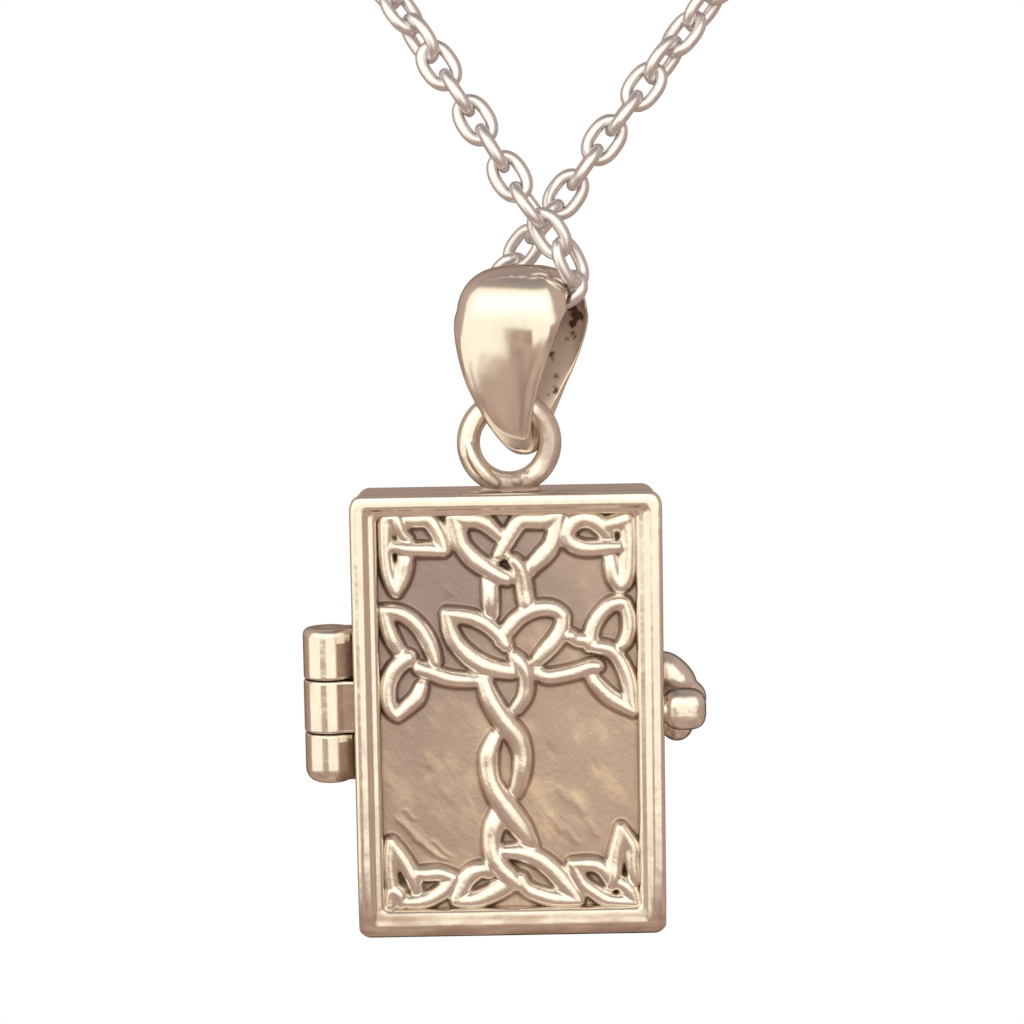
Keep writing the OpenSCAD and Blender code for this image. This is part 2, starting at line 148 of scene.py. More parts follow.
# Knotwork strands as points (x, z, half width, lift), in hundredths of a millimetre. Lift raises a
# strand that passes over another and lowers the one that passes under, and is left out where nought.
KNOT_STRANDS = [
    # Top left corner.
    [(-501, 815, 26), (-505, 794, 25), (-508, 735, 25), (-506, 676, 25), (-497, 616, 26), (-478, 563, 25),
     (-466, 543, 18)],
    [(-430, 716, 31, -20), (-425, 674, 36), (-432, 627, 36), (-445, 586, 29), (-463, 549, 19)],
    [(-501, 817, 23), (-469, 820, 20, 5), (-452, 805, 19, 8), (-435, 778, 18, 2), (-412, 760, 15, -6)],
    [(-440, 816, 25, -10), (-401, 813, 27), (-366, 813, 27), (-325, 812, 29), (-290, 785, 29),
     (-268, 749, 26), (-259, 716, 19)],
    [(-462, 734, 22, 8), (-415, 725, 29, 8), (-362, 721, 30), (-315, 719, 29, -3), (-265, 712, 18)],
    # Top leaf on the left and its stem.
    [(-223, 820, 20), (-172, 811, 30), (-125, 810, 31), (-78, 799, 31, 5), (-29, 769, 22, -5)],
    [(-223, 820, 20), (-208, 795, 36), (-185, 735, 41), (-139, 678, 45), (-81, 636, 42, 5),
     (-35, 608, 38, 10), (0, 593, 31, 10)],
    [(-73, 591, 37, -15), (-71, 538, 40), (-69, 490, 38), (-66, 445, 27, -15)],
    # Top leaf on the right and its stem.
    [(-31, 692, 22), (-14, 721, 27), (16, 767, 31), (58, 805, 33), (111, 808, 33), (164, 808, 33),
     (226, 821, 19)],
    [(226, 821, 19), (207, 770, 37), (186, 723, 42), (150, 682, 44), (114, 647, 36), (103, 628, 26, -5)],
    [(31, 669, 22, 10), (55, 636, 34, 10), (69, 589, 40, 5), (74, 535, 42), (82, 487, 41),
     (90, 451, 31, -15)],
    # Top right corner.
    [(254, 768, 30), (274, 794, 36), (314, 808, 38), (360, 806, 38), (400, 790, 36), (428, 764, 26, -8)],
    [(254, 768, 30), (268, 742, 36), (306, 720, 38), (357, 713, 34), (415, 717, 30, 5),
     (470, 720, 20, 8)],
    [(420, 792, 26), (460, 798, 32, 4), (500, 806, 34, 4)],
    [(506, 806, 36), (514, 752, 36), (512, 681, 38), (508, 620, 40), (498, 578, 38), (480, 556, 34)],
    [(436, 680, 26, -10), (442, 630, 33), (455, 586, 36), (478, 556, 34)],
    # Middle knot on the left with its arm.
    [(-520, 465, 20), (-468, 458, 30), (-422, 437, 34), (-375, 394, 36), (-341, 340, 37), (-318, 286, 31),
     (-305, 243, 17)],
    [(-520, 465, 20), (-505, 396, 31), (-486, 342, 36), (-460, 294, 31, -10)],
    [(-422, 262, 40, 3), (-474, 220, 41, 2), (-506, 157, 36), (-511, 91, 33), (-497, 40, 28),
     (-472, 14, 19)],
    [(-369, 137, 27, -8), (-388, 92, 36), (-427, 54, 33), (-472, 14, 19)],
    [(-373, 215, 30, -5), (-326, 199, 34, 5), (-285, 180, 36), (-232, 167, 34), (-179, 162, 31),
     (-146, 158, 22, -10)],
    # Middle leaf on the left.
    [(-259, 449, 20), (-203, 439, 31), (-144, 426, 34), (-86, 395, 34), (-39, 352, 33), (-8, 310, 28, 5)],
    [(-259, 449, 20), (-240, 374, 36), (-211, 314, 41), (-159, 259, 45), (-101, 223, 44),
     (-42, 204, 40, -5), (11, 193, 30, -10)],
    # Middle leaf on the right.
    [(-30, 325, 24, -2), (3, 375, 33), (45, 422, 36), (99, 454, 37), (158, 465, 36), (205, 455, 33),
     (236, 431, 27)],
    [(236, 431, 27), (228, 377, 36), (203, 330, 42), (167, 289, 41), (128, 248, 27, -5)],
    # Loop under the middle leaves.
    [(28, 262, 23, -2), (54, 231, 33, 8), (74, 189, 33, 8), (76, 135, 33), (66, 87, 32, -5),
     (36, 40, 26, -15)],
    # Middle knot on the right with its arm.
    [(351, 319, 31), (358, 375, 31), (388, 428, 31), (430, 469, 31), (471, 483, 30), (495, 480, 22)],
    [(495, 480, 22), (509, 426, 30), (511, 372, 30), (499, 325, 29), (480, 298, 20)],
    [(266, 344, 29, 5), (298, 323, 27, -4), (327, 325, 31, 5), (345, 301, 26)],
    [(374, 297, 27, 5), (427, 284, 32, 5), (468, 242, 33), (497, 181, 34), (512, 121, 33), (518, 61, 27),
     (528, 16, 14)],
    [(346, 175, 20, -8), (378, 130, 33), (425, 81, 37), (478, 47, 31), (528, 16, 14)],
    [(127, 191, 22, -12), (165, 172, 32), (231, 180, 34), (296, 194, 34), (350, 214, 30, 6),
     (378, 213, 23, 6)],
    # Twisted trunk.
    [(-104, 157, 35, -3), (-80, 85, 45, 6), (-45, 21, 48, 10), (-5, -37, 50, 10), (32, -87, 50, 5),
     (52, -152, 45), (51, -216, 43), (41, -273, 37, -10), (23, -322, 28, -20)],
    [(-62, -85, 27, -15), (-88, -149, 44), (-91, -213, 44), (-81, -278, 44, 5), (-50, -343, 50, 10),
     (-2, -415, 55, 10), (43, -480, 51, 5), (76, -531, 36, -5), (91, -564, 25, -20)],
    [(-60, -410, 30, -12), (-73, -464, 48), (-84, -521, 44), (-79, -586, 43, 5), (-48, -644, 45, 10),
     (-6, -688, 44, 10), (28, -721, 31, 5)],
    # Foot on the left.
    [(-101, -668, 26, -12), (-136, -655, 39), (-186, -685, 44), (-219, -742, 37), (-239, -799, 23)],
    [(-239, -799, 23), (-167, -800, 40), (-103, -780, 45), (-39, -738, 48), (4, -706, 38, 2)],
    # Foot on the right.
    [(-25, -576, 26, 5), (41, -584, 40), (111, -611, 43), (174, -662, 45), (230, -728, 44),
     (281, -808, 22)],
    [(39, -696, 26), (67, -751, 36), (123, -784, 39), (193, -801, 38), (281, -808, 22)],
    # Bottom left corner.
    [(-511, -529, 21), (-476, -584, 37), (-445, -635, 37), (-423, -686, 31), (-408, -740, 20, -10)],
    [(-511, -529, 21), (-519, -597, 26), (-518, -663, 27), (-511, -720, 27)],
    [(-411, -666, 23, -5), (-367, -669, 30), (-308, -667, 31), (-248, -686, 18)],
    [(-248, -686, 18), (-287, -745, 37), (-340, -786, 36), (-399, -802, 30), (-460, -803, 21)],
    [(-524, -820, 21), (-519, -776, 26), (-506, -746, 27, 3), (-480, -765, 26, 5), (-474, -807, 22)],
    # Bottom right corner.
    [(256, -635, 16), (312, -639, 31), (358, -643, 31), (393, -667, 29), (423, -719, 21, -8)],
    [(256, -635, 16), (304, -725, 31), (351, -774, 32), (397, -805, 31), (441, -813, 23)],
    [(466, -484, 19), (459, -532, 31), (447, -579, 33), (437, -638, 36), (433, -692, 33, 5),
     (424, -731, 23)],
    [(466, -484, 19), (513, -563, 32), (515, -617, 30), (519, -670, 26), (528, -715, 16, -5)],
    [(445, -715, 22, -5), (475, -734, 32, 3), (500, -764, 34, 3), (520, -806, 24)],
    [(441, -813, 23), (485, -816, 24), (524, -820, 20)],
]

# Wrinkles and dents of the plate as (x, z, x, z, rise, width), in millimetres.
WRINKLES = [
    (-4.9, -4.3, -3.7, -5.4, 0.06, 0.13), (-4.2, -5.2, -2.7, -6.2, 0.07, 0.12),
    (-3.4, -5.3, -2.6, -6.0, 0.045, 0.09), (-4.6, -3.9, -4.0, -4.4, 0.03, 0.1),
    (-3.1, -1.6, -2.9, -2.2, -0.025, 0.17), (-3.6, -2.2, -3.3, -2.5, -0.02, 0.16),
    (-2.9, -3.1, -2.4, -3.7, 0.02, 0.16), (-1.9, -3.3, -1.5, -4.4, 0.022, 0.14),
    (1.5, -1.2, 2.0, -1.8, -0.02, 0.17), (1.9, -3.0, 2.6, -3.8, 0.025, 0.17),
    (2.5, -3.3, 3.3, -4.4, 0.032, 0.17), (1.6, -4.2, 2.3, -5.1, 0.03, 0.16),
    (3.1, -4.4, 3.8, -5.3, 0.025, 0.16), (2.3, -4.8, 2.9, -5.6, 0.025, 0.15),
    (3.4, -1.9, 3.8, -2.5, -0.02, 0.16), (-2.6, 5.6, -2.3, 5.2, 0.022, 0.14)]

# Route of the chain in millimetres. The stretches round the neck are from the nape, the two
# strands in front from the box's centre, and the stretch at the bail from its bend axis, as
# (along its mouths, backwards, up).
RIGHT_NECK = [
    (4.75, 0, 0), (21.8, -4.2, -0.7), (40.1, -14, -2.4), (54.1, -31, -5), (60.3, -54.5, -10.2),
    (57.7, -77.5, -20), (47.3, -97.5, -37.5), (32.3, -109, -58.5)]
RIGHT_STRAND = [
    (13.6, 3.4, 36), (8.6, 2.4, 29.6), (4.9, 1.9, 24.85), (2.7, 1.8, 21.9)]
THROUGH_BAIL = [
    (0.08, 1.97, 3.55), (-0.58, 1.99, 2.8), (-1.24, 2.18, 2.07), (-1.9, 2.48, 1.36),
    (-1.98, 2.53, 0.8), (-2.22, 1.76, 0.44), (-2.22, 0.81, 0.49), (-1.88, 0.3, 0.69),
    (-0.98, 0.19, 0.74), (0.02, 0.14, 0.74), (1.02, 0.06, 0.78), (2.08, -0.02, 1.04),
    (2.36, -0.27, 1.95), (1.81, -0.52, 2.83), (1.28, -0.66, 3.66)]
LEFT_STRAND = [
    (0.7, -0.7, 22.3), (-1.9, 0.4, 26.6), (-7.4, 2.3, 34.9)]
LEFT_NECK = [
    (-19.8, -113.5, -66), (-34.3, -105.5, -46.5), (-48.4, -92, -29.5), (-58.3, -71, -15.6),
    (-60.7, -50.5, -9), (-53.6, -30.5, -4.8), (-39.5, -14, -2.4), (-21.8, -4.2, -0.8),
    (-4.75, 0, 0)]
# Links whose places the strands are counted from, from the box's centre.
RIGHT_ANCHOR = Vector((2.8, 1.85, 22.05))
LEFT_ANCHOR = Vector((0.47, -0.5, 22.74))
# Middle of the neck, how far from the box the links are finely made, the gap that the clasp takes at
# each end, and the reach on either side that gives a link its direction.
NECK_AXIS_Y = -60.0
FINE_REACH = 62.0
CLASP_GAP = 0.55
HEADING_REACH = 0.35
ROUTE_STEPS = 40
# Where each strand's twist starts and is full, counted along the chain from its anchor, and the full
# twist in radians.
RIGHT_TWIST = (4.6, 7.5)
LEFT_TWIST = (5.6, 7.5)
FULL_TWIST = 0.8

# The plate's attributes: how deep in a pocket, with a band of painted shade along the frame's edge; how
# high on a strand; and how near to one, which carries painted shade round the strands and the oxide in the
# pockets.
RELIEF_LAYERS = ("recess", "relief", "halo")

# The camera looks at a point given from the box's centre in millimetres, from a distance in metres.
CAMERA_AIM = Vector((0.27, FRONT_Y, 8.79))
CAMERA_AWAY = 0.095
CAMERA_RISE = math.radians(5.5)
CAMERA_ROLL = math.radians(1.0)
# The floor's height in metres, and how far below the pendant's middle the glowing patches on it are
# mirrored from, in millimetres.
FLOOR_Z = -0.19
CARD_DROP = 78.0


def node(tree, kind, feeds=(), out=0, **settings):
    """Adds a node with its settings and feeds it sockets, numbers or hex colours. Gives one output."""
    made = tree.nodes.new("ShaderNode" + kind)
    for key, value in settings.items():
        setattr(made, key, value)
    for key, value in feeds.items() if isinstance(feeds, dict) else enumerate(feeds):
        socket = made.inputs[key]
        if isinstance(value, bpy.types.NodeSocket):
            tree.links.new(value, socket)
            continue
        if isinstance(value, str):
            value = linear(value)
        socket.default_value = (*value[:3], 1.0) if socket.type == "RGBA" else value
    return made.outputs[out] if made.outputs else None


def share(tree, *parts):
    """How far a finish shows: parts multiplied, each a value or (value, low, high, from, to) eased."""
    whole = None
    for part in parts:
        if isinstance(part, tuple):
            value, low, high, *ends = part
            part = node(
                tree, "MapRange", (value, low, high, *(ends or (0.0, 1.0))),
                interpolation_type="SMOOTHSTEP")
        whole = part if whole is None else node(tree, "Math", (whole, part), operation="MULTIPLY")
    return whole


def coated(tree, base, *coats):
    """A colour under coats of others, each (how far it shows, its colour)."""
    for shown, colour in coats:
        base = node(tree, "Mix", {0: shown, 6: base, 7: colour}, 2, data_type="RGBA")
    return base


def total(tree, *parts):
    """Values added up, each by its weight."""
    whole = 0.0
    for value, weight in parts:
        whole = node(tree, "Math", (value, weight, whole), operation="MULTIPLY_ADD")
    return whole


def place(tree):
    """A piece's own coordinates, then its x, y and z in millimetres from the box's centre."""
    where = node(tree, "TexCoord", out="Object")
    local = node(tree, "VectorMath", (where, PENDANT_AT), operation="SUBTRACT")
    local = node(tree, "VectorMath", {0: local, "Scale": 1 / MM}, operation="SCALE")
    return where, *node(tree, "SeparateXYZ", (local,)).node.outputs


def speckle(tree, where, size, detail=3.0, stretch=(1, 1, 1), turn=(0, 0, 0)):
    """Noise on a piece's own coordinates, its grains of a size in millimetres, turned and stretched."""
    laid = node(
        tree, "Mapping", {"Vector": where, "Scale": stretch, "Rotation": turn}, vector_type="TEXTURE")
    return node(tree, "TexNoise", {
        "Vector": laid, "Scale": 1 / (size * MM), "Detail": detail, "Roughness": 0.55}, "Fac")


def new_material(name):
    made = bpy.data.materials.new(name)
    made.use_nodes = True
    made.node_tree.nodes.clear()
    return made


def metalled(made, colour, rough, normal, edge="#FFFFFF"):
    """Gives a material its metal: a colour, a roughness, a normal and the colour of its outlines."""
    shader = node(made.node_tree, "BsdfPrincipled", {
        "Base Color": colour, "Metallic": 1.0, "Roughness": rough, "Normal": normal,
        "Specular Tint": edge})
    node(made.node_tree, "OutputMaterial", {"Surface": shader})
    return made


def scene_colours():
    return bpy.context.scene.silver_colours


def silver(name, colour, rough, dents, dent_size, haze, edge="#A89B93"):
    """Silver with the soft dents of hand finishing, a haze of fine wear and darker outlines."""
    made = new_material(name)
    tree = made.node_tree
    where = node(tree, "TexCoord", out="Object")
    dent = speckle(tree, where, dent_size, 2.0)
    wear = speckle(tree, where, 0.5, 4.0, (1, 1, 2.8))
    rub = speckle(tree, where, 0.09, 2.0, (1, 1, 6), (0, 0.5, 0))
    bump = node(tree, "Bump", {"Height": dent, "Strength": 1.0, "Distance": dents * MM})
    fine = node(tree, "Bump", {
        "Height": rub, "Strength": 0.25, "Distance": 0.0012 * MM, "Normal": bump})
    tone = coated(tree, colour, (share(tree, (wear, 0.35, 0.75)), [c * 0.93 for c in colour]))
    return metalled(made, tone, share(tree, (wear, 0.3, 0.8, rough, rough + haze)), fine, edge)


def stained(made, shown, stain, metallic, rough):
    """Lays a duller colour over part of a finish, used both for stains and for painted shade."""
    tree = made.node_tree
    shader = next(part for part in tree.nodes if part.bl_idname == "ShaderNodeBsdfPrincipled")
    for key, value in (("Metallic", metallic), ("Roughness", rough)):
        socket = shader.inputs[key]
        base = socket.links[0].from_socket if socket.links else socket.default_value
        tree.links.new(node(tree, "Mix", {0: shown, 2: base, 3: value}), socket)
    colour = shader.inputs["Base Color"]
    tree.links.new(coated(tree, colour.links[0].from_socket, (shown, stain)), colour)
    return made


@cache
def tumbled_silver():
    """Cast silver, tumbled: soft highlights on small round lumps, with painted shade darkening them round
    their outlines.
    """
    made = silver("cast_silver_tumbled", scene_colours().polished, 0.2, 0.05, 0.7, 0.1, "#6F6862")
    tree = made.node_tree
    outline = node(tree, "LayerWeight", {"Blend": 0.5}, "Facing")
    # Painted shade: grey laid where the surface turns away from the view, darkening its outlines.
    return stained(made, share(tree, (outline, 0.4, 0.8, 0.0, 0.8)), "#8B8784", 0.85, 0.3)


@cache
def bail_silver():
    """The bail's cast silver: mirror polished outside, left unpolished and pale from the pickle inside,
    with patches of painted shadow there.
    """
    made = silver("cast_silver_bail", scene_colours().polished, 0.1, 0.01, 1.6, 0.05)
    tree = made.node_tree
    inside = node(tree, "Attribute", out="Fac", attribute_name="inside")
    spots = speckle(tree, node(tree, "TexCoord", out="Object"), 0.7, 4.0)
    # Inside the loop: pale and unpolished from the pickle, with dark brown patches of painted shadow.
    matt = coated(tree, "#5E4535", (share(tree, (spots, 0.36, 0.46)), "#CDB9AB"))
    return stained(made, inside, matt, 0.35, 0.45)


@cache
def soldered_silver():
    """Silver round a solder seam, hand polished, with painted shade on the hinge barrels' sides towards
    the box and on the top ring's right side, and browner round the ring's foot.
    """
    made = silver("soldered_silver_hand_polished", scene_colours().polished, 0.13, 0.02, 0.9, 0.08)
    tree = made.node_tree
    where, x, _, z = place(tree)
    # Painted shade on the hinge barrels' sides towards the box, left clear round the knuckles' joints and
    # the top knuckle's upper end.
    beside = share(tree, (x, -7.36, -7.26), (x, -6.0, -5.8, 1.0, 0.0))
    for low, high in ((-1.5, -1.0), (1.0, 1.3), (2.75, 3.6)):
        clear = share(
            tree, (z, HINGE_Z + low - 0.03, HINGE_Z + low + 0.03),
            (z, HINGE_Z + high - 0.03, HINGE_Z + high + 0.03, 1.0, 0.0))
        beside = share(tree, beside, total(tree, (1.0, 1.0), (clear, -1.0)))
    grain = speckle(tree, where, 0.3, 3.0)
    ragged = total(tree, (z, 1.0), (grain, 0.5))
    foot = share(tree, (ragged, 10.0, 10.6, 0.8, 0.0), (z, 8.8, 9.0))
    # Painted shade on the top ring's right side.
    dull = share(tree, (x, 1.2, 1.7, 0.0, 0.7), (z, 10.0, 10.8), (grain, 0.3, 0.6, 0.55, 1.0))
    shown = node(tree, "Math", (foot, dull), operation="MAXIMUM")
    shown = node(tree, "Math", (beside, shown), operation="MAXIMUM")
    return stained(made, shown, coated(tree, "#8F7668", (grain, "#BCA192")), 0.55, 0.42)


@cache
def worked_silver():
    """Sheet silver, polished by hand: reflections wander along the bars, and the front of the bottom bar
    turns brown with painted shade.
    """
    made = silver(
        "sheet_silver_hand_polished", scene_colours().polished, 0.14, 0.02, 0.9, 0.1, "#C0B3AA")
    tree = made.node_tree
    where, _, y, z = place(tree)
    streak = speckle(tree, where, 0.5, 4.0, (4, 1, 1))
    # Painted shade: the lower front of the bottom bar is browner, broken up along its length.
    low = share(tree, (z, -8.15, -8.45), (streak, 0.35, 0.65, 0.25, 0.85), (y, -1.9, -2.3))
    return stained(made, low, "#B79C8A", 0.8, 0.36)


@cache
def drawn_silver():
    """Drawn silver wire, tumbled bright: small clean highlights on each link."""
    return silver("drawn_silver_wire_tumbled", scene_colours().wire, 0.28, 0.006, 0.5, 0.1, "#DCD6D2")


@cache
def oxidised_silver():
    """Cast silver, oxidised and rubbed back: brown crevices, taupe plate and bright strands, with painted
    grey shade round the strands.
    """
    colours = scene_colours()
    made = new_material("cast_silver_oxidised_and_rubbed_back")
    tree = made.node_tree
    where, x, _, z = place(tree)
    recess, relief, halo = [
        node(tree, "Attribute", out="Fac", attribute_name=name) for name in RELIEF_LAYERS]
    cloud = speckle(tree, where, 2.6, 4.0, (1, 1, 1.6), (0, -0.7, 0))
    grain = speckle(tree, where, 0.22, 4.0)
    scratch = speckle(tree, where, 0.13, 3.0, (1, 1, 5), (0, -0.7, 0))
    strokes = speckle(tree, where, 0.9, 4.0, (1, 1, 1.9), (0, -0.8, 0))
    lit = total(
        tree, (share(tree, (z, 5.8, -4.2)), 0.45), (share(tree, (x, -4.0, 4.0)), 0.3), (cloud, 0.6))
    rubbed = share(tree, (relief, 0.05, 0.26))
    pocket = total(tree, (halo, 1.0), (grain, 0.04))
    depth = total(tree, (recess, 1.0), (grain, 0.05))
    colour = coated(
        tree, colours.plate,
        (share(tree, (lit, 0.25, 1.0)), "#C8B2A4"),
        (share(tree, (lit, 0.3, 0.95), (strokes, 0.45, 0.7, 0.0, 0.72)), "#E6CFB6"),
        (share(tree, (lit, 0.4, 0.9), (scratch, 0.58, 0.75, 0.0, 0.45)), "#F0DEC8"),
        # Painted shade: a soft grey band round the strands.
        (share(tree, (halo, 0.05, 0.2, 0.0, 0.6)), "#92847C"),
        (rubbed, colours.polished),
        (share(tree, (pocket, 0.2, 0.28, 0.0, 0.75)), colours.crevice),
        # Oxide in the hollows, and painted shade in the band along the frame's edge.
        (share(tree, (depth, 0.17, 0.32, 0.0, 0.75)), "#6E5748"))
    height = total(tree, (scratch, 0.5), (grain, 1.0))
    bump = node(tree, "Bump", {"Height": height, "Strength": 0.7, "Distance": 0.02 * MM})
    return metalled(made, colour, share(tree, (rubbed, 0.0, 1.0, 0.42, 0.24)), bump)


def deselect():
    if bpy.context.object and bpy.context.object.mode != "OBJECT":
        bpy.ops.object.mode_set(mode="OBJECT")
    bpy.ops.object.select_all(action="DESELECT")


def pick(*objects):
    deselect()
    for obj in objects:
        obj.select_set(True)
    bpy.context.view_layer.objects.active = objects[0]


def added(name, add, **sizes):
    """A new primitive, alone in the selection and named."""
    deselect()
    add(**sizes)
    piece = bpy.context.object
    piece.name = name
    return piece


def shaping(piece):
    """Opens a piece in edit mode and gives its mesh, all of it selected."""
    pick(piece)
    bpy.ops.object.mode_set(mode="EDIT")
    bpy.ops.mesh.select_all(action="SELECT")
    return bmesh.from_edit_mesh(piece.data)


def around(count):
    """Cosine and sine at each of a number of even steps round a circle."""
    return [(math.cos(2 * math.pi * k / count), math.sin(2 * math.pi * k / count)) for k in range(count)]


def loft(name, rings, looped=False):
    """A ring of edges extruded from station to station, then joined to itself or capped."""
    piece = added(name, bpy.ops.mesh.primitive_circle_add, vertices=len(rings[0]), radius=1)
    mesh = shaping(piece)
    mark = mesh.verts.layers.int.new("place")
    for vert in mesh.verts:
        vert[mark] = vert.index
        vert.co = rings[0][vert.index]
    if not looped:
        bpy.ops.mesh.edge_face_add()
    for ring in rings[1:]:
        bpy.ops.mesh.extrude_edges_move()
        mesh = bmesh.from_edit_mesh(piece.data)
        mark = mesh.verts.layers.int["place"]
        for vert in mesh.verts:
            if vert.select:
                vert.co = ring[vert[mark]]
    if looped:
        bpy.ops.mesh.select_all(action="SELECT")
        bpy.ops.mesh.remove_doubles(threshold=0.0005)
    else:
        bpy.ops.mesh.edge_face_add()
    bpy.ops.mesh.select_all(action="SELECT")
    bpy.ops.mesh.normals_make_consistent(inside=False)
    mesh = bmesh.from_edit_mesh(piece.data)
    mesh.verts.layers.int.remove(mesh.verts.layers.int["place"])
    bmesh.update_edit_mesh(piece.data)
    bpy.ops.object.mode_set(mode="OBJECT")
    return piece


def bake_place(piece):
    pick(piece)
    bpy.ops.object.transform_apply(location=True, rotation=True, scale=True)


def modified(piece, kind, **settings):
    """Adds a modifier and applies it."""
    pick(piece)
    made = piece.modifiers.new(kind.title(), kind)
    for key, value in settings.items():
        setattr(made, key, value)
    bpy.ops.object.modifier_apply(modifier=made.name)


def fused(name, pieces, rounds):
    """Pieces run together as solder does, by remeshing them to one skin and smoothing it."""
    pick(*pieces)
    bpy.ops.object.join()
    whole = bpy.context.object
    whole.name = name
    modified(whole, "REMESH", mode="VOXEL", voxel_size=SKIN_GRAIN)
    modified(whole, "SMOOTH", factor=0.5, iterations=rounds)
    return whole


def settle(piece, body, slot, finish, *replaced, sharp=None):
    """Moves a piece from millimetres round the box to its place, and gives it its finish and body."""
    bake_place(piece)
    piece.data.transform(Matrix.Translation(PENDANT_AT) @ Matrix.Scale(MM, 4))
    pick(piece)
    if sharp is None:
        bpy.ops.object.shade_smooth()
    else:
        bpy.ops.object.shade_smooth_by_angle(angle=math.radians(sharp))
    piece.data.materials.clear()
    piece.data.materials.append(finish())
    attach(piece, body)
    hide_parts(*replaced)


def in_mm(metres):
    return metres / MM


def box_ring(inset, y, wave=0.0):
    """Points of the box's front outline, drawn in by an inset, at one depth that can waver a little."""
    sizes = bpy.context.scene.pendant_sizes
    half_w = in_mm(sizes.box_width) / 2 - inset
    half_h = in_mm(sizes.box_height) / 2 - inset
    points = []
    for sx, sz, start in ((1, 1, 0), (-1, 1, 90), (-1, -1, 180), (1, -1, 270)):
        r = max((TOP_CORNER if sz > 0 else BASE_CORNER) - inset, 0.25)
        for k in range(9):
            angle = math.radians(start + 90 * k / 8)
            points.append(Vector((
                sx * (half_w - r) + r * math.cos(angle), y, sz * (half_h - r) + r * math.sin(angle))))
    ring = []
    for i, corner in enumerate(points):
        after = points[(i + 1) % len(points)]
        steps = 14 if (after - corner).length > 2 else 1
        ring += [corner.lerp(after, k / steps) for k in range(steps)]
    for point in ring:
        point.y += wave * math.sin(point.z * 1.9 + 1.3 * point.x) * math.cos(point.x * 1.1 + 0.7)
    return ring


def turned(name, centre, profile):
    """A solid turned about an upright axis, from (radius, height) points."""
    x, y = centre
    return loft(name, [
        [Vector((x + radius * c, y + radius * s, height)) for c, s in around(48)]
        for radius, height in profile])


def barrel_profile(radius, low, high, low_round, high_round):
    """Profile of a hinge barrel with its ends rounded over."""
    steps = [math.radians(18 * k) for k in range(6)]
    return [
        *((radius - low_round * (1 - math.sin(a)), low + low_round * (1 - math.cos(a))) for a in steps),
        *((radius - high_round * (1 - math.cos(a)), high - high_round * (1 - math.sin(a))) for a in steps)]


def block(name, low, high):
    """A bar between two corners with its edges rounded."""
    low = Vector(low)
    high = Vector(high)
    piece = added(name, bpy.ops.mesh.primitive_cube_add, size=1, location=(low + high) / 2)
    piece.scale = high - low
    bake_place(piece)
    shaping(piece)
    bpy.ops.mesh.bevel(offset=EDGE_BEVEL, segments=3, affect="EDGES")
    bpy.ops.object.mode_set(mode="OBJECT")
    return piece


def ball(name, centre, radii, turn=0.0, square=1.0):
    """A ball drawn out along its axes, squarer where the power is below one."""
    piece = added(
        name, bpy.ops.mesh.primitive_uv_sphere_add,
        segments=40, ring_count=24, radius=1, location=centre)
    for vert in piece.data.vertices:
        vert.co = [math.copysign(abs(c) ** square, c) for c in vert.co]
    piece.scale = radii
    piece.rotation_euler = (0, turn, 0)
    bake_place(piece)
    return piece


def rod(name, start, end, radius):
    """A round peg from one point to another."""
    start = Vector(start)
    end = Vector(end)
    way = end - start
    piece = added(
        name, bpy.ops.mesh.primitive_cone_add,
        vertices=32, radius1=radius, radius2=radius, depth=way.length, location=(start + end) / 2,
        rotation=way.to_track_quat("Z", "Y").to_euler())
    bake_place(piece)
    return piece


def smooth_route(points, steps):
    """Points of a smooth curve through a route, as numpy rows."""
    route = np.array(points, dtype=float)
    found = []
    for i, b in enumerate(route[:-1]):
        a = route[max(i - 1, 0)]
        c = route[i + 1]
        d = route[min(i + 2, len(route) - 1)]
        for t in np.arange(steps) / steps:
            found.append(0.5 * (2 * b + (c - a) * t + (2 * a - 5 * b + 4 * c - d) * t * t
                                + (3 * b - a - 3 * c + d) * t * t * t))
    found.append(route[-1])
    return np.array(found)


def tube(name, route, radii):
    """A round bead laid along a smooth route, its radius changing from point to point."""
    path = smooth_route(route, 8)
    along = np.linspace(0, len(radii) - 1, len(path))
    rings = []
    for i, spot in enumerate(path):
        way = Vector(path[min(i + 1, len(path) - 1)] - path[max(i - 1, 0)]).normalized()
        side = way.cross(Vector((0, 1, 0))).normalized()
        up = side.cross(way)
        radius = float(np.interp(along[i], range(len(radii)), radii))
        rings.append([Vector(spot) + radius * (side * c + up * s) for c, s in around(20)])
    return loft(name, rings)


def chain_route():
    """The chain's whole route in millimetres from the box's centre, finely spaced."""
    cos, sin = math.cos(BAIL_YAW), math.sin(BAIL_YAW)
    to_box = -PENDANT_AT / MM
    route = [Vector(p) + to_box for p in RIGHT_NECK]
    route += [Vector(p) for p in RIGHT_STRAND]
    route += [
        BAIL_AT + Vector((a * cos + b * sin, -a * sin + b * cos, c)) for a, b, c in THROUGH_BAIL]
    route += [Vector(p) for p in LEFT_STRAND]
    route += [Vector(p) + to_box for p in LEFT_NECK]
    return smooth_route(route, ROUTE_STEPS)


def rolled(face, way, angle):
    """A direction turned about another that is square to it."""
    return face * math.cos(angle) + np.cross(way, face) * math.sin(angle)


